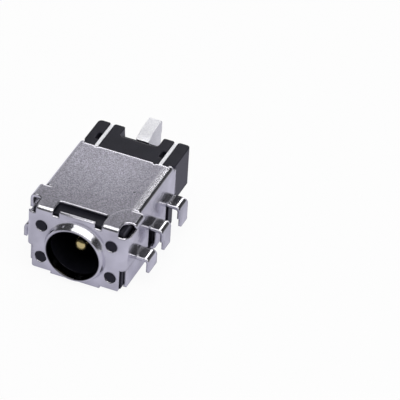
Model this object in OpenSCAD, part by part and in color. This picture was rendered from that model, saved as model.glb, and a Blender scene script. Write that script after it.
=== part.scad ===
// DC barrel jack, board mounting, in a folded, drawn and lanced shield shell.
// The origin is where the socket axis leaves the front plate's outer face:
// +Y runs into the jack, +X to the right seen from the plug, +Z up from the board.

/* [Shell] */
// outside width over the two side walls
shell_w = 7.7; // [7.4:0.05:8.6]
// outside height over the top and bottom plates
shell_h = 5.75; // [5.4:0.05:6.6]
// height of the socket axis above the bottom face
axis_h = 2.7; // [2.6:0.05:3.1]
// thickness of the sheet
sheet = 0.25; // [0.2:0.01:0.3]
// outside radius of the long bends
bend_r = 0.42; // [0.36:0.02:0.5]
// front face to the rear edge of the side walls
wall_len = 9.2; // [8.8:0.05:10]
// front face to the rear edge of the top plate
roof_len = 8.65; // [8.2:0.05:9.4]
// front face to the rear edge of the bottom plate
floor_len = 8.75; // [8.3:0.05:9.4]
// width of the seams where two sheet edges meet
seam = 0.07; // [0.05:0.01:0.12]

/* [Plug mouth] */
// bore that a 4.0 mm plug barrel enters
mouth_d = 4.2; // [3.8:0.05:4.4]
// how far the drawn collar stands out of the front plate
collar_len = 0.6; // [0.4:0.05:0.9]
// diameter of the four clinch holes in the front plate
pip_d = 0.95; // [0.7:0.05:1.1]
// side wall's outer face to the middle of the clinch holes
pip_inset = 1.08; // [1:0.01:1.15]
// clinch holes, up or down from the socket axis
pip_z = 1.42; // [1.3:0.01:1.55]

/* [Front folds] */
// half width of the tab that the front plate ends in at the top
tab_half = 1.4; // [1.1:0.05:1.6]
// half width of the slot between the two top bends
slot_half = 1.95; // [1.8:0.05:2.2]
// front face to the rear end of the top slot
slot_back = 1.35; // [1.1:0.05:1.7]
// front face to the rear end of the bottom slot
under_slot_back = 0.82; // [0.7:0.02:1]
// width of the corner notches, in from the side walls' outer face
corner_w = 0.6; // [0.5:0.01:0.7]
// front face to the rear end of the corner notches
notch_back = 1.25; // [1:0.05:1.4]
// top face to the notches' lower edge on the front plate
notch_drop = 0.65; // [0.55:0.05:0.75]
// radius of the notches' rounded rear corner in the top plate
notch_r = 0.5; // [0.3:0.05:0.6]
// how far the flared wings reach out past the side walls
wing_reach = 0.4; // [0.3:0.01:0.45]
// how far the right wing curls down from the top face
right_wing_drop = 0.36; // [0.28:0.02:0.5]
// how far the left wing curls down, over the side flange
left_wing_drop = 0.9; // [0.5:0.05:1]
// rear end of the flared wings
wing_back = 2.62; // [2.5:0.02:2.8]
// slit between a wing and the full roll behind it
wing_slit = 0.14; // [0.08:0.01:0.2]
// how far the front side flanges stand out past the walls
flange_proud = 0.1; // [0.05:0.01:0.15]
// rear end of the front side flanges
flange_back = 2.3; // [2.1:0.05:2.4]
// lower edge of the front side flanges
flange_z = -0.56; // [-0.6:0.01:-0.5]
// how far the front side flanges' upper edge falls behind the corner notches
flange_fall = 0.35; // [0.2:0.05:0.5]
// how far the front plate's lower part stays in from the walls' outer face
plate_inset = 0.4; // [0.35:0.01:0.45]
// front edge of the side walls below the flanges
wall_front = 0.65; // [0.5:0.05:0.8]

/* [Underside folds] */
// seam between the front flap and the main bottom plate
flap_back = 1.95; // [1.85:0.05:2.1]
// how far the front flap's dovetail key reaches past that seam
key_len = 0.77; // [0.5:0.01:0.85]
// width of the strap between the side window and the rear cut
strap_w = 1.51; // [1.3:0.01:1.6]
// width of the slit in front of each tall leg
leg_slit = 0.24; // [0.2:0.01:0.3]
// underside of the tall legs' flanges, the windows' upper edge there
window_z = 0.05; // [-0.1:0.05:0.3]
// how far the windows rise higher beside the legs
window_rise = 0.5; // [0.3:0.05:0.7]
// how far in the windows reach into the main plate, from the centre
window_left = 1.75; // [1.6:0.05:2]
// how far in the windows reach into the right flaps, from the centre
window_right = 2.33; // [2.2:0.05:2.5]
// width of the lanced tongue in the bottom plate
tongue_w = 1.05; // [0.8:0.05:1.2]
// width of the window around that tongue
tongue_window_w = 1.7; // [1.6:0.05:1.9]
// sideways place of the tongue's middle
tongue_x = 0.1; // [0:0.05:0.3]
// bottom plate's rear edge to the tongue's root
tongue_margin = 0.85; // [0.6:0.05:1]
// length of the tongue from its root to its free end
tongue_len = 1.4; // [1.1:0.05:1.6]
// window's front edge to the tongue's free end
tongue_gap = 0.85; // [0.5:0.05:1]
// how far the tongue's free end is pressed in
tongue_lift = 0.25; // [0.1:0.01:0.3]

/* [Legs] */
// width of each leg along the jack
leg_w = 1.4; // [1.1:0.05:1.5]
// outside half span over the front pair of legs
front_leg_half = 5.03; // [4.8:0.01:5.2]
// outside half span over the other pairs of legs
leg_half = 4.93; // [4.7:0.01:5.1]
// underside of the front pair's flanges, which rests on the board
seat_z = -0.66; // [-0.78:0.01:-0.62]
// height of the leg tips
leg_tip_z = -1.6; // [-1.9:0.05:-1.4]
// middle of the front legs along the jack
front_leg_y = 2.65; // [2.5:0.05:2.8]
// step in the front edge of the tall legs
leg_step = 0.3; // [0.2:0.02:0.4]

/* [Housing] */
// bore of the moulded socket at its bottom
socket_d = 4.06; // [4.02:0.01:4.15]
// draft of the moulded socket, opening towards the collar, in degrees
socket_draft = 0.7; // [0.4:0.1:0.9]
// front face to the bottom of the socket
socket_back = 8.0; // [7.4:0.05:8.3]
// depth of the moulding's recesses behind the side windows
window_recess = 0.45; // [0.2:0.05:0.6]
// gap between the moulding and the sheet around it
moulding_fit = 0.03; // [0.02:0.01:0.05]
// front face to the rear of the lower block
block_len = 9.8; // [9.6:0.05:10.2]
// front face to the rear of the comb
comb_len = 12.2; // [11.8:0.05:12.6]
// how far the comb's sides stay in from the walls' outer face
comb_inset = 0.13; // [0.05:0.01:0.2]
// top face of the shell down to the comb's upper face
comb_sink = 0.31; // [0.26:0.01:0.45]
// half width of the comb's middle bay
bay_half = 1.57; // [1.4:0.01:1.7]
// front of the recess above the web
bay_front = 10.95; // [10.7:0.05:11.2]
// upper face of the web in the middle bay
web_top = 1.85; // [1.75:0.05:2]
// lower face of the web in the middle bay
web_under = 0.8; // [0.6:0.05:0.9]

/* [Contacts] */
// diameter of the centre pin
pin_d = 1.0; // [0.9:0.05:1.25]
// front face to the tip of the centre pin
pin_tip = 0.75; // [0.5:0.05:1.2]
// thickness of the blade contacts
blade_t = 0.28; // [0.2:0.01:0.32]
// blades, sideways from the socket axis
blade_x = 2.6; // [2.55:0.01:2.7]
// front face to the rear edge of the blades
blade_back = 12.1; // [11.8:0.05:12.5]
// lower edge of the blades
blade_low = -0.8; // [-1:0.05:-0.7]
// gap between a contact and the moulding around it
contact_fit = 0.02; // [0.01:0.01:0.04]
// width of the power terminal at its top
terminal_w = 1.05; // [0.8:0.05:1.2]
// width of its arm where it leaves the moulding
arm_w = 1.34; // [1.25:0.02:1.5]
// rear face of the power terminal
terminal_back = 14.35; // [14.1:0.05:14.7]
// top of the power terminal
terminal_top = 2.76; // [2.6:0.02:2.9]
// tip of the power terminal's leg
terminal_tip_z = -1.9; // [-2.2:0.05:-1.7]

/* [Hidden] */
$fn = 64;
far = 20;
half_w = shell_w / 2;
shell_top = shell_h - axis_h;
shell_drop = axis_h;
inner_half = half_w - sheet;
inner_top = shell_top - sheet;
inner_drop = shell_drop - sheet;
inner_r = bend_r - sheet;
mouth_r = mouth_d / 2;

collar_wall = sheet - 0.09;
collar_taper = 17;
collar_fillet = 0.08;
lip_r = 0.04;
corner_r = 0.4;
slot_r = 0.18;
notch_z = shell_top - notch_drop;
flange_top = notch_z - flange_fall;
comb_top = shell_top - comb_sink;
edge_half = half_w - corner_w;
strip_half = edge_half - 0.05;
plate_half = half_w - plate_inset;
pip_x = half_w - pip_inset;
comb_half = half_w - comb_inset;
wing_half = half_w + wing_reach;
flange_half = half_w + flange_proud;
relief_z = shell_top - 0.47;
wing_r = 0.4;
tongue_root = floor_len - tongue_margin;
tongue_tip = tongue_root - tongue_len;
tongue_half = tongue_w / 2;
tongue_window_half = tongue_window_w / 2;
leg_bend = 0.4;
cut_front = wall_len - leg_w - leg_slit;
window_back = cut_front - strap_w;
window_front = window_back - leg_w - leg_slit;
leg_rise = window_z + sheet;
rear_leg_y = wall_len - leg_w / 2;
mid_leg_y = window_back - leg_w / 2;
key_half = 0.7;
key_x = 1.7;
seam_x = 1.6;
seam_knee = 1.45;
pip_sink = 0.02;
corner_wall_z = -shell_drop + 0.3;
wave_r = 0.15;
wave_x = 2.35;
core_len = 9.0;
block_half = inner_half + 0.08;
comb_under = seat_z + 0.12;
pin_seat = socket_back + 0.9;
plate_t = 0.4;
plate_low = -0.6;
stub_d = 0.6;
tip_r = 0.2;
leaf_front = 2.2;
leaf_half_h = 0.6;
blade_root = core_len;
leaf_root = blade_root + 0.5;
leaf_ramp = 1.2;
leaf_x = socket_d / 2 - 0.05;
leaf_t = 0.25;
pocket_w = 0.34;
pocket_y = 9.9;
pocket_len = 0.85;
pocket_depth = 0.5;
arm_z0 = 0.95;
arm_z1 = 1.7;
heel_z = 1.45;
cap_len = 1.35;
cap_fall = 0.38;
col = [0.72, 0.71, 0.75];
plastic = [0.13, 0.13, 0.15];
gold = [0.78, 0.66, 0.36];
tin = [0.8, 0.8, 0.82];

// ---- outlines and runs ----

// an outline in X and Z, run along Y from y0 to y1
module run_y(y0, y1) {
    translate([0, y1, 0]) rotate([90, 0, 0]) linear_extrude(y1 - y0) children();
}

// an outline in Y and Z, run along X from x0 to x1
module run_x(x0, x1) {
    translate([x0, 0, 0]) rotate([90, 0, 90]) linear_extrude(x1 - x0) children();
}

// an outline in X and Y, run along Z from z0 to z1
module run_z(z0, z1) {
    translate([0, 0, z0]) linear_extrude(z1 - z0) children();
}

// a box between two corners
module block(a, b) {
    translate(a) cube(b - a);
}

// a rectangle between two corners with rounded corners
module round_rect(a, b, r) {
    size = b - a;
    translate([a[0] + r, a[1]]) square([size[0] - 2 * r, size[1]]);
    translate([a[0], a[1] + r]) square([size[0], size[1] - 2 * r]);
    for (x = [a[0] + r, b[0] - r], y = [a[1] + r, b[1] - r])
        translate([x, y]) circle(r);
}

// both sides: the children and their mirror image
module both_sides() {
    children();
    mirror([1, 0, 0]) children();
}

// a thin cut along a path of points in X and Y
module seam_path(points) {
    for (i = [1 : len(points) - 1]) {
        a = points[i - 1];
        run = points[i] - a;
        translate(a) rotate(atan2(run[1], run[0]))
            translate([-seam / 2, -seam / 2]) square([norm(run) + seam, seam]);
    }
}

// ---- shield shell ----

// the folded box before any cut: walls, top, bottom and front, open at the rear
module blank(inset) {
    r = bend_r - inset;
    intersection() {
        run_y(inset, wall_len + inset)
            round_rect([-half_w + inset, -shell_drop + inset],
                       [half_w - inset, shell_top - inset], r);
        run_x(-half_w, half_w)
            round_rect([inset, -shell_drop + inset],
                       [far, shell_top - inset], r);
    }
}

// the front plate's side flange, bent back along the wall, on the right
module side_flange() {
    difference() {
        run_z(flange_z, notch_z) intersection() {
            difference() {
                round_rect([-flange_half, 0], [flange_half, far], bend_r);
                round_rect([-flange_half + sheet, sheet],
                           [flange_half - sheet, far + 1], inner_r);
            }
            translate([plate_half - 0.1, -1]) square([far, flange_back + 1]);
        }
        // upper edge falling from the front plate's corner to the flange
        run_x(plate_half, far) polygon([
            [-1, notch_z], [bend_r - 0.2, notch_z], [bend_r + 0.35, flange_top],
            [far, flange_top], [far, far], [-1, far],
        ]);
    }
}

// the top plate's edge behind a corner notch: it flares out past the flange and curls down
module wing(drop) {
    start = wing_half - wing_r;
    difference() {
        run_y(0.4, wing_back) {
            translate([edge_half - 0.2, inner_top]) square([start - edge_half + 0.2, sheet]);
            intersection() {
                difference() {
                    round_rect([-far, -far], [wing_half, shell_top], wing_r);
                    round_rect([-far, -far], [wing_half - sheet, inner_top], wing_r - sheet);
                }
                translate([start, shell_top - drop]) square(far);
            }
        }
        notch();
    }
}

// the corner notch seen from above: open to the front and side, round at its inner corner
module notch() {
    run_z(notch_z - 0.5, far) {
        translate([edge_half, -1]) square([far, notch_back - notch_r + 1]);
        translate([edge_half + notch_r, -1]) square([far, notch_back + 1]);
        translate([edge_half + notch_r, notch_back - notch_r]) circle(notch_r);
    }
}

// a leg lanced out of the wall, flat outwards and then down, on the right
module leg(y, span, rise, step) {
    difference() {
        run_y(y - leg_w / 2, y + leg_w / 2) {
            translate([inner_half, rise - sheet])
                square([span - leg_bend - inner_half, sheet]);
            translate([span - leg_bend, rise - leg_bend]) intersection() {
                difference() {
                    circle(leg_bend);
                    circle(leg_bend - sheet);
                }
                square(leg_bend);
            }
            translate([span - sheet, leg_tip_z])
                square([sheet, rise - leg_bend - leg_tip_z]);
        }
        if (step > 0)
            block([half_w, y - leg_w, leg_tip_z - 1],
                  [far, y - leg_w / 2 + step, leg_tip_z + 0.85]);
    }
}

// the drawn collar around the plug mouth: straight bore, tapered outside, small fillet at its foot
module collar() {
    rotate([90, 0, 0]) rotate_extrude($fn = 96) {
        lip = mouth_r + collar_wall;
        foot = lip + collar_len * tan(collar_taper);
        polygon([[mouth_r, -sheet], [foot, -sheet], [foot, 0], [lip, collar_len - lip_r],
                 [lip - lip_r, collar_len], [mouth_r, collar_len]]);
        // fillet at the foot
        difference() {
            translate([foot - 0.05, -sheet]) square([collar_fillet + 0.05, sheet + collar_fillet]);
            translate([foot + collar_fillet, collar_fillet]) circle(collar_fillet);
        }
    }
}

// everything cut away at the two front bends and the front corners
module front_cuts() {
    // top slot behind the tab, and the relief notches beside the tab
    run_z(relief_z, far) {
        round_rect([-slot_half, sheet], [slot_half, slot_back], slot_r);
        translate([-slot_half, sheet]) square([2 * slot_half, 2 * slot_r]);
    }
    both_sides() block([tab_half, -1, relief_z], [slot_half, sheet + 0.1, far]);
    // bottom slot behind the front plate's lower tab
    block([-slot_half, sheet, -far], [slot_half, under_slot_back, -shell_drop + bend_r]);
    both_sides() {
        // corner notch above the side flange
        block([edge_half, -1, notch_z], [far, notch_back - notch_r, far]);
        // the wing's place, where the top isn't rolled into the wall
        block([edge_half, 0, notch_z], [far, wing_back + wing_slit, far]);
        // the wall's place, taken by the side flange
        block([inner_half - 0.15, -1, flange_z - seam], [far, flange_back + seam, notch_z + 1]);
        // slot between the front plate and the lower wall
        block([plate_half, -1, -far], [far, wall_front, flange_z]);
        // open corner between the front flap and the wall
        block([strip_half, sheet + 0.2, -far], [far, flap_back, corner_wall_z]);
        // rounded lower corner of the front plate
        run_y(-1, sheet + 0.2) difference() {
            translate([plate_half - corner_r, -far]) square([far, far - shell_drop + corner_r]);
            translate([plate_half - corner_r, -shell_drop + corner_r]) circle(corner_r);
        }
    }
}

// windows, seams and slots in the bottom and the lower walls
module under_cuts() {
    for (span = [[window_front, window_back], [cut_front, wall_len + 1]]) {
        block([-far, span[0], -far], [-window_left, span[1], window_z]);
        block([window_right, span[0], -far], [far, span[1], window_z]);
        // the windows rise higher in front of the legs' roots
        both_sides() block([inner_half - 0.2, span[0], -1],
                           [far, span[0] + leg_slit, window_z + window_rise]);
    }
    // open edge in front of the first right flap
    block([seam_x + 0.7, flap_back, -far], [far, flap_back + 0.5, corner_wall_z]);
    run_z(-far, -inner_drop + inner_r) {
        // front flap against the main plate, around the dovetail key
        seam_path([[-far / 2, flap_back], [key_x - key_half, flap_back],
                   [key_x - key_half - 0.08, flap_back + key_len],
                   [key_x + key_half + 0.08, flap_back + key_len],
                   [key_x + key_half, flap_back], [strip_half, flap_back]]);
        // main plate against the first right flap
        seam_path([[key_x + key_half, flap_back + key_len], [seam_x, flap_back + seam_knee],
                   [seam_x + 0.05, window_front + 0.1]]);
        // main plate against the second right flap, around its dovetail head
        seam_path([[window_right, window_back - 0.1], [window_right, window_back + 0.55],
                   [seam_x + 0.15, window_back + 0.45], [seam_x + 0.15, cut_front - 0.3],
                   [window_right, cut_front - 0.4], [window_right, cut_front + 0.1]]);
        // window around the lanced tongue
        difference() {
            translate([tongue_x - tongue_window_half, tongue_tip - tongue_gap])
                square([tongue_window_w, tongue_len + tongue_gap]);
            translate([tongue_x - tongue_half, tongue_tip]) square([tongue_w, far]);
        }
    }
    block([-far, floor_len, -far], [far, far, -inner_drop + inner_r]);
}

// the tongue, pressed in from its root to its free end
module tongue() {
    run_x(tongue_x - tongue_half, tongue_x + tongue_half) polygon([
        [tongue_root + sheet, -shell_drop], [tongue_root + sheet, -inner_drop],
        [tongue_root, -inner_drop], [tongue_tip, -inner_drop + tongue_lift],
        [tongue_tip, -shell_drop + tongue_lift], [tongue_root, -shell_drop],
    ]);
}

// the top plate's rear edge: shallow dips between the middle and the corner lobes
module roof_edge() {
    block([-inner_half + inner_r, roof_len, inner_top - inner_r], [inner_half - inner_r, far, far]);
    both_sides() {
        translate([wave_x, roof_len, inner_top - inner_r]) cylinder(r = wave_r, h = far);
        block([half_w - bend_r - 0.1, roof_len + 0.2, inner_top - inner_r], [far, far, far]);
    }
}

// a round hole bored along Y through the front plate and whatever stands in front of it
module front_bore(d) {
    translate([0, 2 * sheet, 0]) rotate([90, 0, 0]) cylinder(d = d, h = far);
}

module shield_shell() {
    color(col) difference() {
        union() {
            difference() {
                blank(0);
                translate([0, 0.001, 0]) blank(sheet);
                front_cuts();
                under_cuts();
                roof_edge();
                // the floor under the tongue
                block([tongue_x - tongue_half, tongue_tip - seam, -far],
                      [tongue_x + tongue_half, tongue_root, -inner_drop + inner_r]);
            }
            // tabs that end the front plate straight between its bends
            block([-tab_half, 0, relief_z - bend_r], [tab_half, sheet, shell_top]);
            block([-slot_half, 0, -shell_drop], [slot_half, sheet, -shell_drop + 2 * bend_r]);
            tongue();
            collar();
            wing(right_wing_drop);
            mirror([1, 0, 0]) wing(left_wing_drop);
            both_sides() {
                side_flange();
                leg(front_leg_y, front_leg_half, seat_z + sheet, 0);
                leg(mid_leg_y, leg_half, leg_rise, leg_step);
                leg(rear_leg_y, leg_half, leg_rise, leg_step);
            }
        }
        front_bore(mouth_d, $fn = 96);
        for (x = [-pip_x, pip_x], z = [-pip_z, pip_z]) translate([x, 0, z]) front_bore(pip_d);
    }
}

// ---- housing ----

// outline of the comb seen from above, with rounded rear corners
module comb_outline() {
    round_rect([-comb_half, wall_len + 0.05], [comb_half, comb_len], 0.3);
}

// slots that take the two contacts
module contact_slots() {
    w = blade_t + 2 * contact_fit;
    both_sides() {
        // open slot for the blade
        translate([blade_x - w / 2, blade_root - contact_fit, blade_low - contact_fit])
            cube([w, far, far]);
        // channel for the leaf, open into the socket
        block([socket_d / 2 - 0.35, leaf_front - 0.2, -leaf_half_h - contact_fit],
              [blade_x + w / 2, blade_root, leaf_half_h + contact_fit]);
    }
}

// room inside the moulding for the power terminal's plate and arm
module terminal_room() {
    w = arm_w / 2 + contact_fit;
    block([-w, pin_seat, plate_low - contact_fit],
          [w, pin_seat + plate_t + contact_fit, arm_z1 + contact_fit]);
    block([-w, pin_seat, arm_z0 - contact_fit], [w, far, arm_z1 + contact_fit]);
}

module housing() {
    reach = inner_half - moulding_fit;
    color(plastic) difference() {
        union() {
            run_y(sheet + moulding_fit, core_len + 0.5)
                round_rect([-reach, -inner_drop + moulding_fit], [reach, comb_top], inner_r);
            // lower block behind the rear cut
            run_z(-inner_drop + moulding_fit, comb_under + 0.1)
                round_rect([-block_half, cut_front + moulding_fit], [block_half, block_len], 0.6);
            run_z(comb_under, comb_top) comb_outline();
            // pips that fill the clinch holes
            for (x = [-pip_x, pip_x], z = [-pip_z, pip_z])
                translate([x, 0, z]) run_y(pip_sink, 2 * sheet) circle(d = pip_d - 2 * moulding_fit);
        }
        // socket
        translate([0, socket_back, 0]) rotate([90, 0, 0])
            cylinder(d1 = socket_d, d2 = socket_d + 2 * socket_back * tan(socket_draft),
                     h = socket_back, $fn = 96);
        // seat of the centre pin
        translate([0, pin_seat + 0.1, 0]) rotate([90, 0, 0])
            cylinder(d = pin_d + 2 * contact_fit, h = pin_seat - socket_back + 0.6);
        contact_slots();
        terminal_room();
        // recesses behind the windows, where the legs were folded out
        for (span = [[window_front, window_back], [cut_front, rear_leg_y]])
            both_sides() block([inner_half - window_recess, span[0] - 0.02, -inner_drop + 0.35],
                               [far, span[1] + 0.02, window_z + window_rise + 0.02]);
        // middle bay above and below the web
        block([-bay_half, bay_front, web_top], [bay_half, far, far]);
        block([-bay_half, bay_front + 0.15, -far], [bay_half, far, web_under]);
        // small recess on the left of each slot, behind the top plate
        for (x = [-blade_x, blade_x])
            block([x - blade_t / 2 - pocket_w, pocket_y, comb_top - pocket_depth],
                  [x, pocket_y + pocket_len, far]);
        // room above the pressed-in tongue
        block([tongue_x - tongue_window_half, tongue_tip - 0.2, -far],
              [tongue_x + tongue_window_half, tongue_root, -inner_drop + tongue_lift + 0.1]);
    }
}

// ---- contacts ----

module center_pin() {
    reach = pin_seat - pin_tip;
    color(gold) translate([0, pin_seat, 0]) rotate([90, 0, 0]) {
        rotate_extrude() {
            square([pin_d / 2, reach - tip_r]);
            square([pin_d / 2 - tip_r, reach]);
            translate([pin_d / 2 - tip_r, reach - tip_r]) circle(tip_r);
        }
        // stub riveted through the power terminal's plate
        translate([0, 0, -plate_t]) cylinder(d = stub_d, h = plate_t + 0.1);
    }
}

// side outline of the power terminal from the arm to the leg's tip, in Y and Z
module terminal_outline() {
    leg_back = terminal_back - 0.1;
    leg_front = leg_back - 0.5;
    polygon([
        [pin_seat, arm_z0], [comb_len + 0.1, arm_z0], [leg_front, 0.35],
        [leg_front, terminal_tip_z + 0.15], [leg_front + 0.1, terminal_tip_z],
        [leg_back - 0.1, terminal_tip_z], [leg_back, terminal_tip_z + 0.15],
        [leg_back, heel_z], [terminal_back, heel_z + 0.15], [terminal_back, terminal_top - 0.25],
        [terminal_back - 0.2, terminal_top], [terminal_back - cap_len, terminal_top - cap_fall],
        [comb_len + 0.1, arm_z1 + 0.1], [comb_len - 0.1, arm_z1], [pin_seat, arm_z1],
    ]);
}

// plan of the power terminal: the arm narrows from the moulding to the top
module terminal_plan() {
    polygon([
        [-arm_w / 2, pin_seat], [arm_w / 2, pin_seat], [arm_w / 2, comb_len],
        [terminal_w / 2, terminal_back - 1.1], [terminal_w / 2, far],
        [-terminal_w / 2, far], [-terminal_w / 2, terminal_back - 1.1], [-arm_w / 2, comb_len],
    ]);
}

module power_terminal() {
    color(tin) difference() {
        union() {
            intersection() {
                run_x(-arm_w, arm_w) terminal_outline();
                run_z(-far, far) terminal_plan();
            }
            block([-arm_w / 2, pin_seat, plate_low], [arm_w / 2, pin_seat + plate_t, arm_z1]);
        }
        translate([0, pin_seat + 2 * plate_t, 0]) rotate([90, 0, 0])
            cylinder(d = stub_d, h = 3 * plate_t);
    }
}

// blade with its leaf reaching forward along the socket, on the right
module contact() {
    color(tin) {
        run_x(blade_x - blade_t / 2, blade_x + blade_t / 2) {
            round_rect([blade_root, blade_low], [blade_back, comb_top - contact_fit], 0.3);
            translate([blade_root + 1, 0]) square([blade_back - blade_root - 1, comb_top - contact_fit]);
        }
        run_z(-leaf_half_h, leaf_half_h) polygon([
            [blade_x + blade_t / 2, leaf_root], [blade_x + blade_t / 2, blade_root - leaf_ramp],
            [leaf_x + leaf_t, leaf_front + leaf_ramp], [blade_x + 0.1, leaf_front],
            [blade_x - 0.12, leaf_front], [leaf_x, leaf_front + leaf_ramp],
            [blade_x - blade_t / 2, blade_root - leaf_ramp + 0.2], [blade_x - blade_t / 2, leaf_root],
        ]);
    }
}

shield_shell();
housing();
center_pin();
power_terminal();
mirror([1, 0, 0]) contact();  // left_contact
contact();  // right_contact
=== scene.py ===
"""Dresses the board-mounted DC barrel jack and sets up its stage."""

import math

import bmesh
import bpy
from mathutils import Matrix, Vector


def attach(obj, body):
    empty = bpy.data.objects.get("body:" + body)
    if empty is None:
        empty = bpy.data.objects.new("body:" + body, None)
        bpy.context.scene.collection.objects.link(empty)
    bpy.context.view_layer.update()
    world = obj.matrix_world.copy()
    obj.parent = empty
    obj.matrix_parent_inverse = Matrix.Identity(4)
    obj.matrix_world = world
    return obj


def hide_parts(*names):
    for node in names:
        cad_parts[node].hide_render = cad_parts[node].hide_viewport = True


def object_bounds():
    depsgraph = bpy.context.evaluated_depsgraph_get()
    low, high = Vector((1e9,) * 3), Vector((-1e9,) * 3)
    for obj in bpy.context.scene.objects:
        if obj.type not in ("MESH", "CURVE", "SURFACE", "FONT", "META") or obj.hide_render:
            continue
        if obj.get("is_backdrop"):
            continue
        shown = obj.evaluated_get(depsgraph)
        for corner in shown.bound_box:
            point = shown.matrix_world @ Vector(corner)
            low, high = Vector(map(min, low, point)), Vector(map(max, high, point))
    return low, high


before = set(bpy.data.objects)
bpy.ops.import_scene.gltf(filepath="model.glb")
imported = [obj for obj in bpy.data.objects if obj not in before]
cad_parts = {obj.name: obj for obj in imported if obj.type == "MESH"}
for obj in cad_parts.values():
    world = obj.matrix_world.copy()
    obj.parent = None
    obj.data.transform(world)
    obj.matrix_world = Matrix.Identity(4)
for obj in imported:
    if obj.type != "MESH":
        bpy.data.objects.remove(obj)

bl_info = {
    "name": "DC Barrel Jack",
    "version": (1, 0, 0),
    "blender": (4, 5, 0),
    "location": "View3D > Sidebar > Barrel Jack",
    "description": "Dresses a folded-sheet DC barrel jack and its studio stage",
    "category": "Object",
}

MM = 0.001
WHITE = (1, 1, 1, 1)

# how the copies of the solids are cleaned and their edges broken; lengths in metres
SAME_POINT = 1e-6
WELDED_POINT = 0.4e-6
FLAT_TURN = math.radians(0.7)
SHARP_TURN = math.radians(42)
EDGE_ROOM = 3.5  # edges that meet a broken one are longer than this many widths
COLLAR_RADIUS = 3.3 * MM
COLLAR_DEPTH = 0.4 * MM
SHADING_WEIGHT = 80

# where the reshaped places lie on the solids, in millimetres
SKIRT_X = -3.97
SKIRT_Y = (1.0, 2.7)
SKIRT_Z = (2.05, 2.25)
HOOK_Y = 11.9
HOOK_SLACK = 0.02
# each station of the hook: its Y and least Z on the solid, then the Y and Z it moves to
HOOK_STATIONS = ((12.3, 1.5, 11.75, 2.28), (13.0, 2.2, 12.60, 2.62), (13.25, 2.2, 12.90, 2.66))
FINGER_TIPS_Y = (12.1, 12.3)
BAY_CORNERS_Y = (10.9, 11.0)
UPRIGHT_SLACK = 0.01
UPRIGHT_LEAST = 0.5
CORNER_TURN = math.radians(60)

# the pin's dome and the heads of the clinch pips
PIN_RADIUS = 0.5 * MM
DOME_BULGE = 0.09 * MM
DOME_DEPTH = 0.4  # of the pin's radius
PIP_HEAD = 0.05 * MM
PIP_SET_BACK = 0.055 * MM
PIP_TAPER = 0.94

# bands over which one finish, or its painted light and shade, fades into the next, in millimetres
# on the object
TOP_Z = (2.75, 2.9)
ROLL_X = (3.0, 3.45)
ROLL_Y = (2.5, 2.8)
FRONT_TO_REAR_Y = (0.5, 6.5)
MIDDLE_TO_RIGHT_X = (0.5, 3.0)
INNER_X = (3.56, 3.62)
INNER_Y = (0.27, 0.32)
INNER_Z = (2.74, 2.78)
BOTTOM_Z = (-2.52, -2.46)
SHEET_BORE = (2.11, 2.16)
MOULDED_BORE = (2.04, 2.12)
BORE_END_Y = (8.0, 8.2)
CUT_END_Y = (14.32, 14.34)
CUT_MIDDLE_Z = 2.06
CUT_HALF = (0.36, 0.42)
SCRATCH_WIDTH = (0.015, 0.045)
SCRATCH_X = (1.95, 2.05)
SCRATCH_Y = (3.0, 3.1)
SCRATCH_STRENGTH = 0.45

# the same for the normal's share along an axis; the shine bands set where the moulding's painted
# sheen changes
FACING_UP = (0.90, 0.985)
LEVEL_SHINE = (0.5, 0.9)
FRONT_SHINE = (-0.9, -0.5)

# brightness of the finishes' tones, and of their painted light and shade, as shares of their
# colours
PLAIN_TONES = (0.76, 1.12)
SHADED_FRONT_TONES = (0.24, 0.42)
LIT_REAR_TONES = (0.40, 0.78)
SPECK_TONE = 0.06
SCRATCH_TONE = 0.85
INNER_SHADE_TONE = 0.12
MOULDED_TONES = (0.85, 1.25)
BORE_SHADE_TONE = 0.2
PLATED_TONES = (0.9, 1.06)
MOULDED_SHEEN = (0.80, 0.79, 1.0, 1)

# the ground: its paper, its tint in the metal, and how much it glows by itself
PAPER = (0.9, 0.9, 0.9, 1)
MIRRORED_TINT = (0.52, 0.51, 0.62, 1)
SEEN_GLOW = 0.93
MIRRORED_GLOW = 0.75
FLOOR_HALF = 1.5

# the studio seen in the metal: share of the way from below to above, and grey
STUDIO_BANDS = ((0.5, 0.75), (0.54, 0.7), (0.60, 0.12), (0.72, 0.05), (0.85, 0.06), (1.0, 0.1))
STUDIO_BLUE = 1.04

# name, heading from the jack, half angles across and along in degrees, and brightness
LAMPS = (
    ("overhead", (0.16, -0.22, 0.95), 34, 28, 2.2),
    ("rear panel", (-0.35, 0.72, 0.64), 26, 13, 0.62),
    ("rear strip", (-0.09, 0.72, 0.69), 4.5, 8, 3.9),
    ("low strip", (-0.20, 0.94, 0.13), 20, 8, 1.9),
)
LAMP_REACH = 0.4
LAMP_TARGET = (0, 5 * MM, 0)


# ---- settings ----


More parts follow.
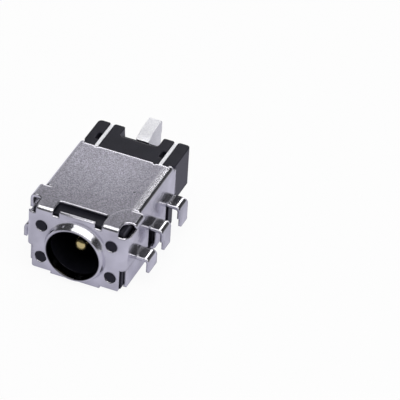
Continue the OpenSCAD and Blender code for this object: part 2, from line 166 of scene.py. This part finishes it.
class JackShapeSettings(bpy.types.PropertyGroup):
    """Sizes of the finishing touches on the pieces."""

    cut_edge: bpy.props.FloatProperty(
        name="Sheet edge", description="Width of the broken edge on the cut sheet",
        default=0.03 * MM, min=0, unit="LENGTH")
    moulded_edge: bpy.props.FloatProperty(
        name="Moulded edge", description="Width of the rounded edge on the moulding",
        default=0.06 * MM, min=0, unit="LENGTH")
    contact_edge: bpy.props.FloatProperty(
        name="Contact edge", description="Width of the broken edge on the contacts",
        default=0.03 * MM, min=0, unit="LENGTH")
    skirt_more: bpy.props.FloatProperty(
        name="Skirt", description="How much further down the left wing's skirt reaches",
        default=0.32 * MM, min=0, unit="LENGTH")
    hook_half: bpy.props.FloatProperty(
        name="Hook half width", description="Half width of the power terminal's hook",
        default=0.5 * MM, min=0, unit="LENGTH")
    tip_round: bpy.props.FloatProperty(
        name="Finger rounding", description="Radius of the comb's finger tips in plan",
        default=0.16 * MM, min=0, unit="LENGTH")
    bay_round: bpy.props.FloatProperty(
        name="Bay rounding", description="Radius of the corners of the comb's bay",
        default=0.35 * MM, min=0, unit="LENGTH")
    pip_spread: bpy.props.FloatVectorProperty(
        name="Pip spread", description="Distance between the clinch pips across and up",
        size=2, default=(5.54 * MM, 2.84 * MM), unit="LENGTH")
    pip_radius: bpy.props.FloatProperty(
        name="Pip radius", description="Radius of a clinch pip's head",
        default=0.43 * MM, min=0, unit="LENGTH")


class JackFinishSettings(bpy.types.PropertyGroup):
    """Colours of the finishes."""

    sheet: bpy.props.FloatVectorProperty(
        name="Shield", description="Plating of the shield", subtype="COLOR",
        size=4, default=(0.73, 0.72, 0.77, 1))
    top_plate: bpy.props.FloatVectorProperty(
        name="Top plate", description="Dull plating of the top plate", subtype="COLOR",
        size=4, default=(0.73, 0.71, 0.82, 1))
    speck: bpy.props.FloatVectorProperty(
        name="Speck", description="Place and radius of a speck on the top plate, in millimetres",
        size=3, default=(2.44, 4.71, 0.09))
    scratch: bpy.props.FloatVectorProperty(
        name="Scratch", description="Centre and radius of a scratched arc, in millimetres",
        size=3, default=(4.91, 0.36, 3.07))
    moulding: bpy.props.FloatVectorProperty(
        name="Moulding", description="Moulded body", subtype="COLOR",
        size=4, default=(0.008, 0.008, 0.012, 1))
    gold: bpy.props.FloatVectorProperty(
        name="Pin", description="Plating of the centre pin", subtype="COLOR",
        size=4, default=(0.80, 0.66, 0.30, 1))
    tin: bpy.props.FloatVectorProperty(
        name="Terminals", description="Tin on the terminals", subtype="COLOR",
        size=4, default=(0.96, 0.96, 1.0, 1))
    sheet_round: bpy.props.FloatProperty(
        name="Sheet rounding", description="Radius of the sheet's rounded edges",
        default=0.26 * MM, min=0, unit="LENGTH")
    moulding_round: bpy.props.FloatProperty(
        name="Moulding rounding", description="Radius of the moulding's rounded edges",
        default=0.12 * MM, min=0, unit="LENGTH")
    plating_round: bpy.props.FloatProperty(
        name="Terminal rounding", description="Radius of the terminals' rounded edges",
        default=0.06 * MM, min=0, unit="LENGTH")
    bare_cut: bpy.props.FloatVectorProperty(
        name="Bare cut", description="Unplated sheared end of the terminal", subtype="COLOR",
        size=4, default=(0.30, 0.25, 0.13, 1))


class JackStageSettings(bpy.types.PropertyGroup):
    """Camera and studio."""

    azimuth: bpy.props.FloatProperty(
        name="Azimuth", description="Camera's turn about the vertical",
        default=math.radians(23.4), subtype="ANGLE")
    elevation: bpy.props.FloatProperty(
        name="Elevation", description="Camera's height angle",
        default=math.radians(38.1), subtype="ANGLE")
    roll: bpy.props.FloatProperty(
        name="Roll", description="Camera's tilt about its own axis",
        default=math.radians(2.1), subtype="ANGLE")
    distance: bpy.props.FloatProperty(
        name="Distance", description="From the camera to the plug mouth",
        default=0.244, min=0.05, unit="LENGTH")
    lens: bpy.props.FloatProperty(
        name="Lens", description="Focal length in millimetres", default=302.8, min=20)
    aim_right: bpy.props.FloatProperty(
        name="Aim right", description="How far right of the plug mouth the camera aims",
        default=9.02 * MM, unit="LENGTH")
    aim_up: bpy.props.FloatProperty(
        name="Aim up", description="How far above the plug mouth the camera aims",
        default=3.75 * MM, unit="LENGTH")


# ---- shared helpers ----


def link(obj):
    """Puts an object in the scene."""
    bpy.context.scene.collection.objects.link(obj)
    return obj


def finished_mesh(obj):
    """Turns the object's modifiers into plain mesh."""
    graph = bpy.context.evaluated_depsgraph_get()
    mesh = bpy.data.meshes.new_from_object(obj.evaluated_get(graph))
    obj.modifiers.clear()
    obj.data = mesh
    return obj


def off_collar(vert):
    """Whether a point lies clear of the drawn collar round the plug mouth."""
    return math.hypot(vert.co.x, vert.co.z) > COLLAR_RADIUS or vert.co.y > COLLAR_DEPTH


def has_room(edge, width):
    """Whether an edge and all that meet it are long enough to be broken."""
    return all(near.calc_length() > EDGE_ROOM * width
               for vert in edge.verts for near in vert.link_edges)


def break_edges(grid, width):
    """Rounds the sharp edges that have room, and leaves the drawn collar as it is."""
    roomy = [edge for edge in grid.edges
             if edge.calc_face_angle(0) > SHARP_TURN
             and all(off_collar(vert) for vert in edge.verts) and has_room(edge, width)]
    bmesh.ops.bevel(grid, geom=roomy, offset=width, offset_type="OFFSET", segments=2,
                    profile=0.5, affect="EDGES", clamp_overlap=False)
    for edge in grid.edges:
        edge.smooth = edge.calc_face_angle(0) < SHARP_TURN


def dressed_copy(node, edge, reshape=None):
    """A copy of a solid with merged points, broken edges and even shading."""
    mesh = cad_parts[node].data.copy()
    grid = bmesh.new()
    grid.from_mesh(mesh)
    bmesh.ops.remove_doubles(grid, verts=grid.verts, dist=SAME_POINT)
    bmesh.ops.dissolve_degenerate(grid, edges=grid.edges, dist=SAME_POINT)
    bmesh.ops.dissolve_limit(grid, angle_limit=FLAT_TURN, verts=grid.verts, edges=grid.edges)
    if reshape:
        reshape(grid)
    break_edges(grid, edge)
    for face in grid.faces:
        face.smooth = True
    grid.to_mesh(mesh)
    grid.free()
    mesh.materials.clear()
    obj = link(bpy.data.objects.new(node + "_dressed", mesh))
    obj.modifiers.new("merged points", "WELD").merge_threshold = WELDED_POINT
    even = obj.modifiers.new("even shading", "WEIGHTED_NORMAL")
    even.weight = SHADING_WEIGHT
    even.keep_sharp = True
    return finished_mesh(obj)


def hand_over(obj, node):
    """The piece rides with the jack and stands for its solid, if any."""
    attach(obj, "root")
    if node:
        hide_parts(node)


def dress(node, edge, material, reshape=None):
    """Dresses a solid in its finish and puts the copy in its place."""
    piece = dressed_copy(node, edge, reshape)
    piece.data.materials.append(material)
    hand_over(piece, node)


def shade(colour, factor):
    """A colour made darker or lighter."""
    return (*(c * factor for c in colour[:3]), 1)


class Wiring:
    """Short ways to add and join the nodes of a tree."""

    def __init__(self, tree):
        self.tree = tree

    def feed(self, node, values):
        """Joins a node's inputs to sockets, or sets them to plain values."""
        for key, value in values.items():
            if isinstance(value, bpy.types.NodeSocket):
                self.tree.links.new(value, node.inputs[key])
            else:
                node.inputs[key].default_value = value

    def add(self, kind, values=None, **settings):
        """A new node with its settings and inputs."""
        node = self.tree.nodes.new(kind)
        for key, value in settings.items():
            setattr(node, key, value)
        self.feed(node, values or {})
        return node

    def math(self, operation, a, b=0.0):
        """One step of arithmetic."""
        return self.add("ShaderNodeMath", {0: a, 1: b}, operation=operation).outputs[0]

    def product(self, first, *others):
        """All of the values multiplied."""
        for other in others:
            first = self.math("MULTIPLY", first, other)
        return first

    def spread(self, value, low, high, out_low=0.0, out_high=1.0):
        """A value's band, spread over another and held at its ends."""
        node = self.add("ShaderNodeMapRange", {
            "Value": value, "From Min": low, "From Max": high,
            "To Min": out_low, "To Max": out_high})
        return node.outputs["Result"]

    def levels(self, noise, low=0.0, high=1.0, half=0.2):
        """A noise's middle range, spread from low to high."""
        return self.spread(noise, 0.5 - half, 0.5 + half, low, high)

    def noise(self, place, scale, detail=2.0, rough=0.5):
        """Cloudy noise, with the number of its waves in a millimetre."""
        node = self.add("ShaderNodeTexNoise", {
            "Vector": place, "Scale": scale, "Detail": detail, "Roughness": rough})
        return node.outputs["Fac"]

    def blend(self, amount, a, b):
        """A colour between two others."""
        return self.add("ShaderNodeMix", {0: amount, 6: a, 7: b}, data_type="RGBA").outputs[2]

    def tones(self, amount, colour, low, high):
        """A colour between two brightnesses of its own."""
        return self.blend(amount, shade(colour, low), shade(colour, high))

    def split(self, vector):
        """A vector's three parts, by name."""
        return self.add("ShaderNodeSeparateXYZ", {"Vector": vector}).outputs

    def distance(self, across, up, x, y):
        """How far two parts of a place lie from a point."""
        flat = self.add("ShaderNodeCombineXYZ", {"X": across, "Y": up}).outputs[0]
        node = self.add("ShaderNodeVectorMath", {0: flat, 1: (x, y, 0)}, operation="DISTANCE")
        return node.outputs["Value"]

    def around(self, parts):
        """Distance from the socket's axis."""
        return self.distance(parts["X"], parts["Z"], 0, 0)

    def place(self, stretch=(1, 1, 1)):
        """Object coordinates in millimetres, stretched along each axis."""
        coords = self.add("ShaderNodeTexCoord").outputs["Object"]
        scale = tuple(s / MM for s in stretch)
        return self.add("ShaderNodeMapping", {"Vector": coords, "Scale": scale}).outputs[0]

    def rounded(self, radius):
        """The surface's normal with its edges rounded."""
        return self.add("ShaderNodeBevel", {"Radius": radius}, samples=8).outputs[0]

    def facing(self, normal):
        """A normal's parts along the object's own axes."""
        own = self.add("ShaderNodeVectorTransform", {"Vector": normal}, vector_type="NORMAL",
                       convert_from="WORLD", convert_to="OBJECT")
        return self.split(own.outputs[0])

    def bump(self, height, strength, distance, normal):
        """A normal disturbed by a height."""
        node = self.add("ShaderNodeBump", {
            "Height": height, "Strength": strength, "Distance": distance, "Normal": normal})
        return node.outputs[0]


def cleared_wiring(owner):
    """The emptied node tree of a material or a world."""
    owner.use_nodes = True
    owner.node_tree.nodes.clear()
    return Wiring(owner.node_tree)


def new_material(name):
    """A material with its wiring and its shader."""
    material = bpy.data.materials.new(name)
    w = cleared_wiring(material)
    shader = w.add("ShaderNodeBsdfPrincipled")
    w.add("ShaderNodeOutputMaterial", {"Surface": shader.outputs[0]})
    return material, w, shader


# ---- finishes ----


def speck_mask(w, parts, speck):
    """A small round mark on the top plate."""
    reach = w.distance(parts["X"], parts["Y"], speck[0], speck[1])
    return w.spread(reach, speck[2] * 0.5, speck[2], 1, 0)


def scratch_mask(w, parts, ring):
    """A faint arc scratched into the top plate's right front corner."""
    reach = w.distance(parts["X"], parts["Y"], ring[0], ring[1])
    off = w.math("ABSOLUTE", w.math("SUBTRACT", reach, ring[2]))
    return w.product(w.spread(off, *SCRATCH_WIDTH, SCRATCH_STRENGTH, 0),
                     w.spread(parts["Y"], *SCRATCH_Y, 1, 0), w.spread(parts["X"], *SCRATCH_X))


def inner_shade_mask(w, parts):
    """Painted shade on the folded sheet's inner faces and in its bore, which see nothing but the
    moulding.
    """
    within = w.product(w.spread(w.math("ABSOLUTE", parts["X"]), *INNER_X, 1, 0),
                       w.spread(parts["Y"], *INNER_Y), w.spread(parts["Z"], *INNER_Z, 1, 0),
                       w.spread(parts["Z"], *BOTTOM_Z))
    return w.math("MAXIMUM", within, w.spread(w.around(parts), *SHEET_BORE, 1, 0))


def dull_plating_and_painted_light(w, finish, parts, grain):
    """The top plate's speckled colour, with painted shade that darkens it towards the front and
    painted light that brightens it towards the rear, less so on the right.
    """
    speckle = w.levels(grain, half=0.12)
    # painted shade on the front of the top plate, painted light on its rear
    front = w.tones(speckle, finish.top_plate, *SHADED_FRONT_TONES)
    rear = w.tones(speckle, finish.top_plate, *LIT_REAR_TONES)
    fade = w.product(w.spread(parts["Y"], *FRONT_TO_REAR_Y),
                     w.spread(parts["X"], *MIDDLE_TO_RIGHT_X, 1.0, 0.55))
    dull = w.blend(fade, front, rear)
    dull = w.blend(speck_mask(w, parts, finish.speck), dull, shade(finish.top_plate, SPECK_TONE))
    return w.blend(scratch_mask(w, parts, finish.scratch), dull,
                   shade(finish.top_plate, SCRATCH_TONE))


def plated_sheet(finish):
    """Plated sheet: broad waves and smooth bends, dull and mottled on the top plate, with painted
    light and shade on the top plate and painted shade on the inner faces and in the bore.
    """
    material, w, shader = new_material("satin plated sheet with painted light and shade")
    place = w.place()
    parts = w.split(place)
    soft = w.rounded(finish.sheet_round)
    top = w.product(w.spread(w.facing(soft)["Z"], *FACING_UP), w.spread(parts["Z"], *TOP_Z))
    roll = w.product(w.spread(parts["X"], *ROLL_X), w.spread(parts["Y"], *ROLL_Y))
    plateau = w.product(top, w.math("SUBTRACT", 1.0, roll))
    grain = w.noise(place, 11.0, 2.0, 0.6)
    fine = w.noise(place, 24.0, 2.0, 0.6)
    broad = w.noise(place, 0.45)
    plain = w.tones(w.levels(broad), finish.sheet, *PLAIN_TONES)
    # the top plate's tones carry painted light and shade
    plating_with_painted_light = w.blend(plateau, plain, dull_plating_and_painted_light(w, finish, parts, grain))
    rough = w.add("ShaderNodeMix", {
        0: plateau, 2: w.levels(broad, 0.10, 0.20), 3: w.levels(fine, 0.28, 0.42)})
    # the top plate droops a little before it rolls into the right wall
    drooped = w.bump(w.product(roll, roll, -1.0), top, 0.05 * MM, soft)
    waves = w.bump(broad, 0.4, 0.10 * MM, drooped)
    pits = w.math("ADD", w.product(grain, 0.7), w.product(fine, 0.3))
    w.feed(shader, {
        # painted shade on the sheet's inner faces and in its bore
        "Base Color": w.blend(inner_shade_mask(w, parts), plating_with_painted_light, shade(finish.sheet, INNER_SHADE_TONE)),
        "Metallic": 1.0,
        "Roughness": rough.outputs[0],
        "Normal": w.bump(pits, w.spread(top, 0, 1, 0.08, 1.0), 0.05 * MM, waves)})
    return material


def moulded_plastic(finish):
    """Near-black moulding with a faint eroded texture, with painted shade and a duller sheen in
    the bore.
    """
    material, w, shader = new_material("black moulded plastic with painted shade and sheen")
    place = w.place()
    parts = w.split(place)
    erosion = w.noise(place, 14.0, 3.0, 0.6)
    cloud = w.levels(w.noise(place, 1.2, 3.0), half=0.15)
    bore = w.product(w.spread(w.around(parts), *MOULDED_BORE, 1, 0),
                     w.spread(parts["Y"], *BORE_END_Y, 1, 0))
    soft = w.rounded(finish.moulding_round)
    facing = w.facing(soft)
    w.feed(shader, {
        # painted shade in the bore
        "Base Color": w.blend(bore, w.tones(cloud, finish.moulding, *MOULDED_TONES),
                              shade(finish.moulding, BORE_SHADE_TONE)),
        # specular strength follows which way the face turns: a painted sheen, weaker on level
        # tops, on front faces and in the bore
        "Specular IOR Level": w.product(w.spread(facing["Z"], *LEVEL_SHINE, 0.66, 0.24),
                                        w.spread(bore, 0, 1, 1.0, 0.2),
                                        w.spread(facing["Y"], *FRONT_SHINE, 0.45, 1.0)),
        "Specular Tint": MOULDED_SHEEN,
        "Roughness": w.levels(erosion, 0.32, 0.46),
        "Normal": w.bump(erosion, 0.18, 0.015 * MM, soft)})
    return material


def bright_plating(name, colour, roughness, edge, streak=(1, 1, 1), metal=1.0, cut=None):
    """Smooth plating with fine drawn streaks, and a bare sheared end where cut is given."""
    material, w, shader = new_material(name)
    streaks = w.noise(w.place(streak), 9.0)
    tone = w.tones(w.levels(streaks, half=0.15), colour, *PLATED_TONES)
    if cut:
        parts = w.split(w.place())
        off = w.math("ABSOLUTE", w.math("SUBTRACT", parts["Z"], CUT_MIDDLE_Z))
        bare = w.product(w.spread(parts["Y"], *CUT_END_Y), w.spread(off, *CUT_HALF, 1, 0))
        tone = w.blend(bare, tone, cut)
    w.feed(shader, {
        "Base Color": tone,
        "Metallic": metal,
        "Roughness": w.levels(streaks, *roughness),
        "Normal": w.bump(streaks, 0.12, 0.01 * MM, w.rounded(edge))})
    return material


# ---- pieces ----


def lengthen_skirt(grid, more):
    """The left wing's skirt reaches further down over the side flange."""
    for vert in grid.verts:
        x, y, z = (value / MM for value in vert.co)
        if x < SKIRT_X and SKIRT_Y[0] < y < SKIRT_Y[1] and SKIRT_Z[0] < z < SKIRT_Z[1]:
            vert.co.z -= more


def dome_tip(grid):
    """The pin's flat end swells into a dome."""
    front = min(vert.co.y for vert in grid.verts)
    cap = [face for face in grid.faces
           if all(vert.co.y < front + SAME_POINT for vert in face.verts)]
    poked = bmesh.ops.poke(grid, faces=cap)
    spokes = {edge for vert in poked["verts"] for edge in vert.link_edges}
    bmesh.ops.subdivide_edges(grid, edges=list(spokes), cuts=3)
    depth = PIN_RADIUS * DOME_DEPTH
    for vert in grid.verts:
        if vert.co.y < front + depth + SAME_POINT:
            reach = math.hypot(vert.co.x, vert.co.z) / PIN_RADIUS
            rise = 1 - math.sqrt(max(0, 1 - reach ** 2))
            vert.co.y = front - DOME_BULGE + (depth + DOME_BULGE) * rise


def level_hook(grid, half_width):
    """The power terminal's hook leaves the moulding steeply and runs level at one width."""
    for vert in grid.verts:
        x, y, z = (value / MM for value in vert.co)
        if y < HOOK_Y:
            continue
        vert.co.x = math.copysign(min(abs(vert.co.x), half_width), x)
        for drawn_y, least_z, new_y, new_z in HOOK_STATIONS:
            if abs(y - drawn_y) < HOOK_SLACK and z > least_z:
                vert.co.y, vert.co.z = new_y * MM, new_z * MM


def upright_edges(grid, low, high):
    """Sharp upright edges with their Y in a band."""
    found = []
    for edge in grid.edges:
        a, b = (vert.co / MM for vert in edge.verts)
        plumb = abs(a.x - b.x) < UPRIGHT_SLACK and abs(a.y - b.y) < UPRIGHT_SLACK
        turned = edge.is_manifold and edge.calc_face_angle() > CORNER_TURN
        if plumb and turned and abs(a.z - b.z) > UPRIGHT_LEAST and low < a.y < high:
            found.append(edge)
    return found


def round_comb(grid, tips, roots):
    """The comb's finger tips and the corners of its bay are rounded in plan."""
    corners = ((upright_edges(grid, *FINGER_TIPS_Y), tips),
               (upright_edges(grid, *BAY_CORNERS_Y), roots))
    for edges, radius in corners:
        bmesh.ops.bevel(grid, geom=edges, offset=radius, offset_type="OFFSET", segments=5,
                        profile=0.5, affect="EDGES")


def clinch_pips(shape, plastic):
    """Four chamfered pip heads on the corners of an upright rectangle."""
    tree = bpy.data.node_groups.new("clinch pips", "GeometryNodeTree")
    face = tree.interface
    face.new_socket("Geometry", in_out="OUTPUT", socket_type="NodeSocketGeometry")
    sizes = {}
    for name, value in (("Across", shape.pip_spread[0]), ("Up", shape.pip_spread[1]),
                        ("Radius", shape.pip_radius), ("Depth", PIP_HEAD)):
        socket = face.new_socket(name, in_out="INPUT", socket_type="NodeSocketFloat")
        socket.default_value = value
        sizes[socket.identifier] = value
    w = Wiring(tree)
    given = w.add("NodeGroupInput").outputs
    grid = w.add("GeometryNodeMeshGrid", {
        "Size X": given["Across"], "Size Y": given["Up"], "Vertices X": 2, "Vertices Y": 2})
    head = w.add("GeometryNodeMeshCone", {
        "Vertices": 32, "Radius Top": w.product(given["Radius"], PIP_TAPER),
        "Radius Bottom": given["Radius"], "Depth": given["Depth"]})
    spread = w.add("GeometryNodeInstanceOnPoints", {
        "Points": grid.outputs["Mesh"], "Instance": head.outputs["Mesh"]})
    upright = w.add("GeometryNodeTransform", {
        "Geometry": spread.outputs[0], "Translation": (0, PIP_SET_BACK, 0),
        "Rotation": (math.radians(90), 0, 0)})
    real = w.add("GeometryNodeRealizeInstances", {"Geometry": upright.outputs[0]})
    dressed = w.add("GeometryNodeSetMaterial", {"Geometry": real.outputs[0], "Material": plastic})
    w.add("NodeGroupOutput", {"Geometry": dressed.outputs[0]})
    obj = link(bpy.data.objects.new("clinch_pips", bpy.data.meshes.new("clinch_pips")))
    modifier = obj.modifiers.new("clinch pips", "NODES")
    modifier.node_group = tree
    for identifier, value in sizes.items():
        modifier[identifier] = value
    return finished_mesh(obj)


class JACK_OT_shield(bpy.types.Operator):
    """Folded sheet shield with its cut edges broken"""

    bl_idname = "jack.shield"
    bl_label = "Shield"

    def execute(self, context):
        shape = context.scene.jack_shape
        dress("shield_shell", shape.cut_edge, plated_sheet(context.scene.jack_finish),
              lambda grid: lengthen_skirt(grid, shape.skirt_more))
        return {"FINISHED"}


class JACK_OT_moulding(bpy.types.Operator):
    """Moulded body and the heads of its clinch pips"""

    bl_idname = "jack.moulding"
    bl_label = "Moulding"

    def execute(self, context):
        shape = context.scene.jack_shape
        plastic = moulded_plastic(context.scene.jack_finish)
        dress("housing", shape.moulded_edge, plastic,
              lambda grid: round_comb(grid, shape.tip_round, shape.bay_round))
        hand_over(clinch_pips(shape, plastic), None)
        return {"FINISHED"}


class JACK_OT_pin(bpy.types.Operator):
    """Gold centre pin"""

    bl_idname = "jack.pin"
    bl_label = "Centre pin"

    def execute(self, context):
        finish = context.scene.jack_finish
        gold = bright_plating("gold plating", finish.gold, (0.16, 0.28), finish.plating_round)
        dress("center_pin", context.scene.jack_shape.contact_edge, gold, dome_tip)
        return {"FINISHED"}


class JACK_OT_terminals(bpy.types.Operator):
    """Power terminal and the two blade contacts"""

    bl_idname = "jack.terminals"
    bl_label = "Terminals"

    def execute(self, context):
        shape = context.scene.jack_shape
        finish = context.scene.jack_finish
        tin = bright_plating("bright tin", finish.tin, (0.34, 0.44), finish.plating_round,
                             streak=(1, 1, 4), metal=0.3, cut=tuple(finish.bare_cut))
        dress("power_terminal", shape.contact_edge, tin,
              lambda grid: level_hook(grid, shape.hook_half))
        for node in ("left_contact", "right_contact"):
            dress(node, shape.contact_edge, tin)
        return {"FINISHED"}


# ---- stage ----


def floor_finish():
    """White ground that keeps a soft shadow and shows white in the metal."""
    material = bpy.data.materials.new("white ground")
    w = cleared_wiring(material)
    paper = w.add("ShaderNodeBsdfDiffuse", {"Color": PAPER})
    rays = w.add("ShaderNodeLightPath").outputs
    tint = w.blend(rays["Is Glossy Ray"], WHITE, MIRRORED_TINT)
    glow = w.add("ShaderNodeEmission", {"Color": tint, "Strength": 1.0})
    amount = w.math("MAXIMUM", w.product(rays["Is Camera Ray"], SEEN_GLOW),
                    w.product(rays["Is Glossy Ray"], MIRRORED_GLOW))
    mixed = w.add("ShaderNodeMixShader", {0: amount, 1: paper.outputs[0], 2: glow.outputs[0]})
    w.add("ShaderNodeOutputMaterial", {"Surface": mixed.outputs[0]})
    return material


def studio_world():
    """White behind the object, and a soft studio of grey and dark bands in the metal."""
    world = bpy.data.worlds.new("studio")
    w = cleared_wiring(world)
    heading = w.split(w.add("ShaderNodeTexCoord").outputs["Generated"])
    bands = w.add("ShaderNodeValToRGB", {"Fac": w.spread(heading["Z"], -1, 1)})
    while len(bands.color_ramp.elements) < len(STUDIO_BANDS):
        bands.color_ramp.elements.new(0.5)
    for element, (place, grey) in zip(bands.color_ramp.elements, STUDIO_BANDS):
        element.position = place
        element.color = (grey, grey, grey * STUDIO_BLUE, 1)
    rays = w.add("ShaderNodeLightPath").outputs
    sky = w.blend(rays["Is Camera Ray"], bands.outputs[0], WHITE)
    back = w.add("ShaderNodeBackground", {"Color": sky, "Strength": 1.0})
    w.add("ShaderNodeOutputWorld", {"Surface": back.outputs[0]})
    return world


def soft_lamp(name, heading, across, along, glow):
    """A panel seen from the jack along a heading, with its half angles and brightness."""
    data = bpy.data.lights.new(name, "AREA")
    data.shape = "RECTANGLE"
    data.size = 2 * LAMP_REACH * math.tan(math.radians(across))
    data.size_y = 2 * LAMP_REACH * math.tan(math.radians(along))
    data.energy = glow * math.pi * data.size * data.size_y
    lamp = link(bpy.data.objects.new(name, data))
    away = Vector(heading).normalized()
    side = (Vector((1, 0, 0)) - away * away.x).normalized()
    facing = Matrix((side, away.cross(side), away)).transposed()
    place = away * LAMP_REACH + Vector(LAMP_TARGET)
    lamp.matrix_world = Matrix.Translation(place) @ facing.to_4x4()


def long_lens(stage):
    """A camera at the stage's angles, aimed beside the plug mouth."""
    turn, rise, roll = stage.azimuth, stage.elevation, stage.roll
    across = Vector((math.cos(turn), math.sin(turn), 0))
    level = Vector((-math.sin(turn), math.cos(turn), 0))
    into = level * math.cos(rise) - Vector((0, 0, math.sin(rise)))
    above = level * math.sin(rise) + Vector((0, 0, math.cos(rise)))
    right = across * math.cos(roll) + above * math.sin(roll)
    up = above * math.cos(roll) - across * math.sin(roll)
    place = into * -stage.distance
    back = (place - right * stage.aim_right - up * stage.aim_up).normalized()
    side = up.cross(back).normalized()
    data = bpy.data.cameras.new("camera")
    data.lens = stage.lens
    data.clip_start = 0.01
    data.clip_end = 10
    camera = link(bpy.data.objects.new("camera", data))
    facing = Matrix((side, back.cross(side), back)).transposed()
    camera.matrix_world = Matrix.Translation(place) @ facing.to_4x4()
    return camera


class JACK_OT_stage(bpy.types.Operator):
    """Floor, world, lamps and camera"""

    bl_idname = "jack.stage"
    bl_label = "Stage"

    def execute(self, context):
        scene = context.scene
        scene.view_settings.view_transform = "Standard"
        scene.world = studio_world()
        ground = bpy.data.meshes.new("floor")
        half, level = FLOOR_HALF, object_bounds()[0][2]
        ground.from_pydata([(-half, -half, level), (half, -half, level),
                            (half, half, level), (-half, half, level)], [], [(0, 1, 2, 3)])
        ground.materials.append(floor_finish())
        link(bpy.data.objects.new("floor", ground))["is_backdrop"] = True
        for lamp in LAMPS:
            soft_lamp(*lamp)
        scene.camera = long_lens(scene.jack_stage)
        return {"FINISHED"}


class JACK_PT_panel(bpy.types.Panel):
    """The jack's pieces and settings"""

    bl_label = "Barrel Jack"
    bl_space_type = "VIEW_3D"
    bl_region_type = "UI"
    bl_category = "Barrel Jack"

    def draw(self, context):
        for operator in OPERATORS:
            self.layout.operator(operator.bl_idname)
        for group in (context.scene.jack_shape, context.scene.jack_finish,
                      context.scene.jack_stage):
            for name in group.__annotations__:
                self.layout.prop(group, name)


SETTINGS = {
    "jack_shape": JackShapeSettings,
    "jack_finish": JackFinishSettings,
    "jack_stage": JackStageSettings,
}
OPERATORS = (JACK_OT_shield, JACK_OT_moulding, JACK_OT_pin, JACK_OT_terminals, JACK_OT_stage)


def register():
    for cls in (*SETTINGS.values(), *OPERATORS, JACK_PT_panel):
        bpy.utils.register_class(cls)
    for name, group in SETTINGS.items():
        setattr(bpy.types.Scene, name, bpy.props.PointerProperty(type=group))


def unregister():
    for name in SETTINGS:
        delattr(bpy.types.Scene, name)
    for cls in (JACK_PT_panel, *reversed(OPERATORS), *reversed(SETTINGS.values())):
        bpy.utils.unregister_class(cls)


def main():
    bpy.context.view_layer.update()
    register()
    bpy.ops.jack.shield()
    bpy.ops.jack.moulding()
    bpy.ops.jack.pin()
    bpy.ops.jack.terminals()
    bpy.ops.jack.stage()


if __name__ == "__main__":
    main()
